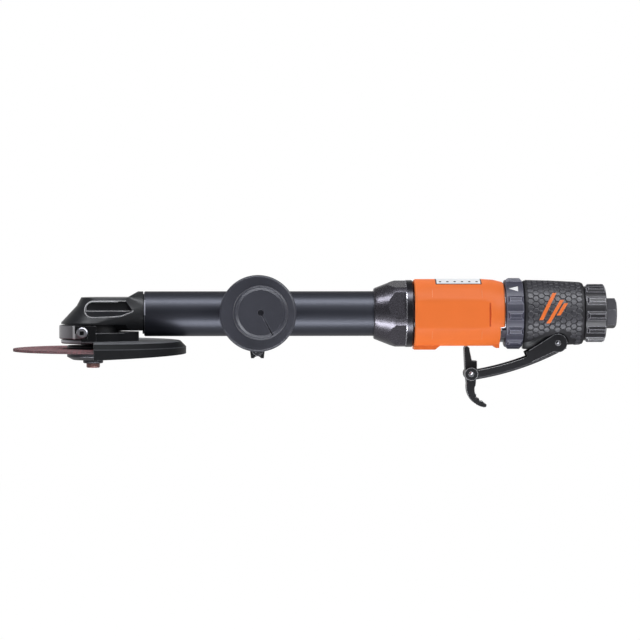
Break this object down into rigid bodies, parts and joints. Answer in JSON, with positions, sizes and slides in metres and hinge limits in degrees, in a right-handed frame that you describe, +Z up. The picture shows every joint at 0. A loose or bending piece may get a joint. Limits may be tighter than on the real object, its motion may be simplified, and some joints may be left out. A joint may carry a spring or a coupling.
{
  "type": "pneumatic cut-off tool",
  "caption": "Long-barrel pneumatic cut-off tool with angle head, guarded abrasive wheel, side handle and lever throttle.",
  "frame": {"origin": "centre of the mouth of the tapped air inlet, on the tool axis", "axes": "+X out of the air inlet along the tool axis, +Z up, away from the cutting wheel; the side handle points to -Y"},
  "size_m": [0.3845, 0.1853, 0.0851],
  "materials": {
    "bright_steel": "ground",
    "dark_steel": "black oxide",
    "strap_steel": "satin",
    "head_black": "black anodised",
    "guard_black": "satin black",
    "barrel_black": "black anodised, polished",
    "case_aluminium": "machined",
    "housing_orange": "satin",
    "grip_rubber": "matte, hexagon relief",
    "handle_plastic": "matte",
    "ring_plastic": "satin",
    "deflector_plastic": "satin",
    "lever_black": "satin black",
    "wheel_abrasive": "bonded grit",
    "vane_resin": "matte",
    "brass_fitting": "machined",
    "seal_rubber": "matte",
    "muffler_felt": "felt",
    "mark_white": "satin"
  },
  "bodies": {
    "tool_body": {"head_housing": "head_black", "bearing_cap": "dark_steel", "spindle_lower_bearing": "bright_steel", "spindle_upper_bearing": "bright_steel", "pinion_bearings": "bright_steel", "pinion_retainer": "dark_steel", "barrel_tube": "barrel_black", "shaft_bearing": "bright_steel", "lock_nut": "barrel_black", "motor_case": "case_aluminium", "motor_housing": "housing_orange", "cylinder_liner": "bright_steel", "front_end_plate": "case_aluminium", "rear_end_plate": "case_aluminium", "front_rotor_bearing": "bright_steel", "rear_rotor_bearing": "bright_steel", "liner_pin": "bright_steel", "handle_body": "head_black", "grip_sleeve": "grip_rubber", "inlet_bushing": "dark_steel", "inlet_screen": "brass_fitting", "lever_pin": "bright_steel", "valve_bushing": "brass_fitting", "valve_seal": "seal_rubber", "valve_spring": "bright_steel"},
    "wheel": {"spindle": "bright_steel", "bevel_gear": "bright_steel", "inner_flange": "dark_steel", "cutting_wheel": "wheel_abrasive", "outer_flange": "dark_steel", "bolt_washer": "dark_steel", "wheel_bolt": "dark_steel"},
    "drive": {"bevel_pinion": "bright_steel", "front_coupling": "bright_steel", "drive_shaft": "bright_steel", "rear_coupling": "bright_steel", "rotor": "bright_steel", "rotor_vanes": "vane_resin"},
    "guard": {"wheel_guard": "guard_black", "guard_strap": "strap_steel", "guard_screws": "strap_steel"},
    "handle": {"handle_clamp": "head_black", "clamp_screw": "bright_steel", "clamp_nut": "bright_steel", "handle_stud": "bright_steel", "side_handle": "handle_plastic"},
    "regulator": {"regulator_ring": "ring_plastic"},
    "deflector": {"exhaust_deflector": "deflector_plastic", "muffler": "muffler_felt"},
    "lever": {"throttle_lever": "lever_black", "lock_pin": "bright_steel", "lock_spring": "bright_steel"},
    "lock": {"lock_lever": "lever_black"},
    "valve": {"valve_stem": "bright_steel"}
  },
  "joints": [
    {"name": "wheel_spin", "type": "hinge", "parent": "tool_body", "child": "wheel", "pos_m": [-0.3337, 0, 0], "axis": [0, 0, 1], "continuous": true},
    {"name": "drive_spin", "type": "hinge", "parent": "tool_body", "child": "drive", "pos_m": [-0.3337, 0, 0], "axis": [1, 0, 0], "continuous": true},
    {"name": "guard_swivel", "type": "hinge", "parent": "tool_body", "child": "guard", "pos_m": [-0.3337, 0, 0], "axis": [0, 0, 1], "range_deg": [-45, 45]},
    {"name": "handle_swivel", "type": "hinge", "parent": "tool_body", "child": "handle", "pos_m": [-0.2292, 0, 0], "axis": [1, 0, 0], "range_deg": [-120, 120]},
    {"name": "regulator_turn", "type": "hinge", "parent": "tool_body", "child": "regulator", "pos_m": [-0.066, 0, 0], "axis": [1, 0, 0], "range_deg": [0, 90]},
    {"name": "deflector_turn", "type": "hinge", "parent": "tool_body", "child": "deflector", "pos_m": [-0.014, 0, 0], "axis": [1, 0, 0], "continuous": true},
    {"name": "lever_squeeze", "type": "hinge", "parent": "tool_body", "child": "lever", "pos_m": [-0.0378, 0, -0.0187], "axis": [0, 1, 0], "range_deg": [0, 8], "stiffness_Nm_per_rad": 2, "springref_deg": -8.59},
    {"name": "lock_fold", "type": "hinge", "parent": "lever", "child": "lock", "pos_m": [-0.09312, 0, -0.03845], "axis": [0, 1, 0], "range_deg": [0, 84]},
    {"name": "valve_travel", "type": "slide", "parent": "tool_body", "child": "valve", "axis": [0, 0, 1], "range_m": [0, 0.0023], "deforming": ["valve_spring"]}
  ],
  "couplings": [
    {"joint": "drive_spin", "follows": "wheel_spin", "ratio": 1.4615},
    {"joint": "lock_fold", "follows": "lever_squeeze", "ratio": 10.5},
    {"joint": "valve_travel", "follows": "lever_squeeze", "m_per_rad": 0.0165}
  ]
}
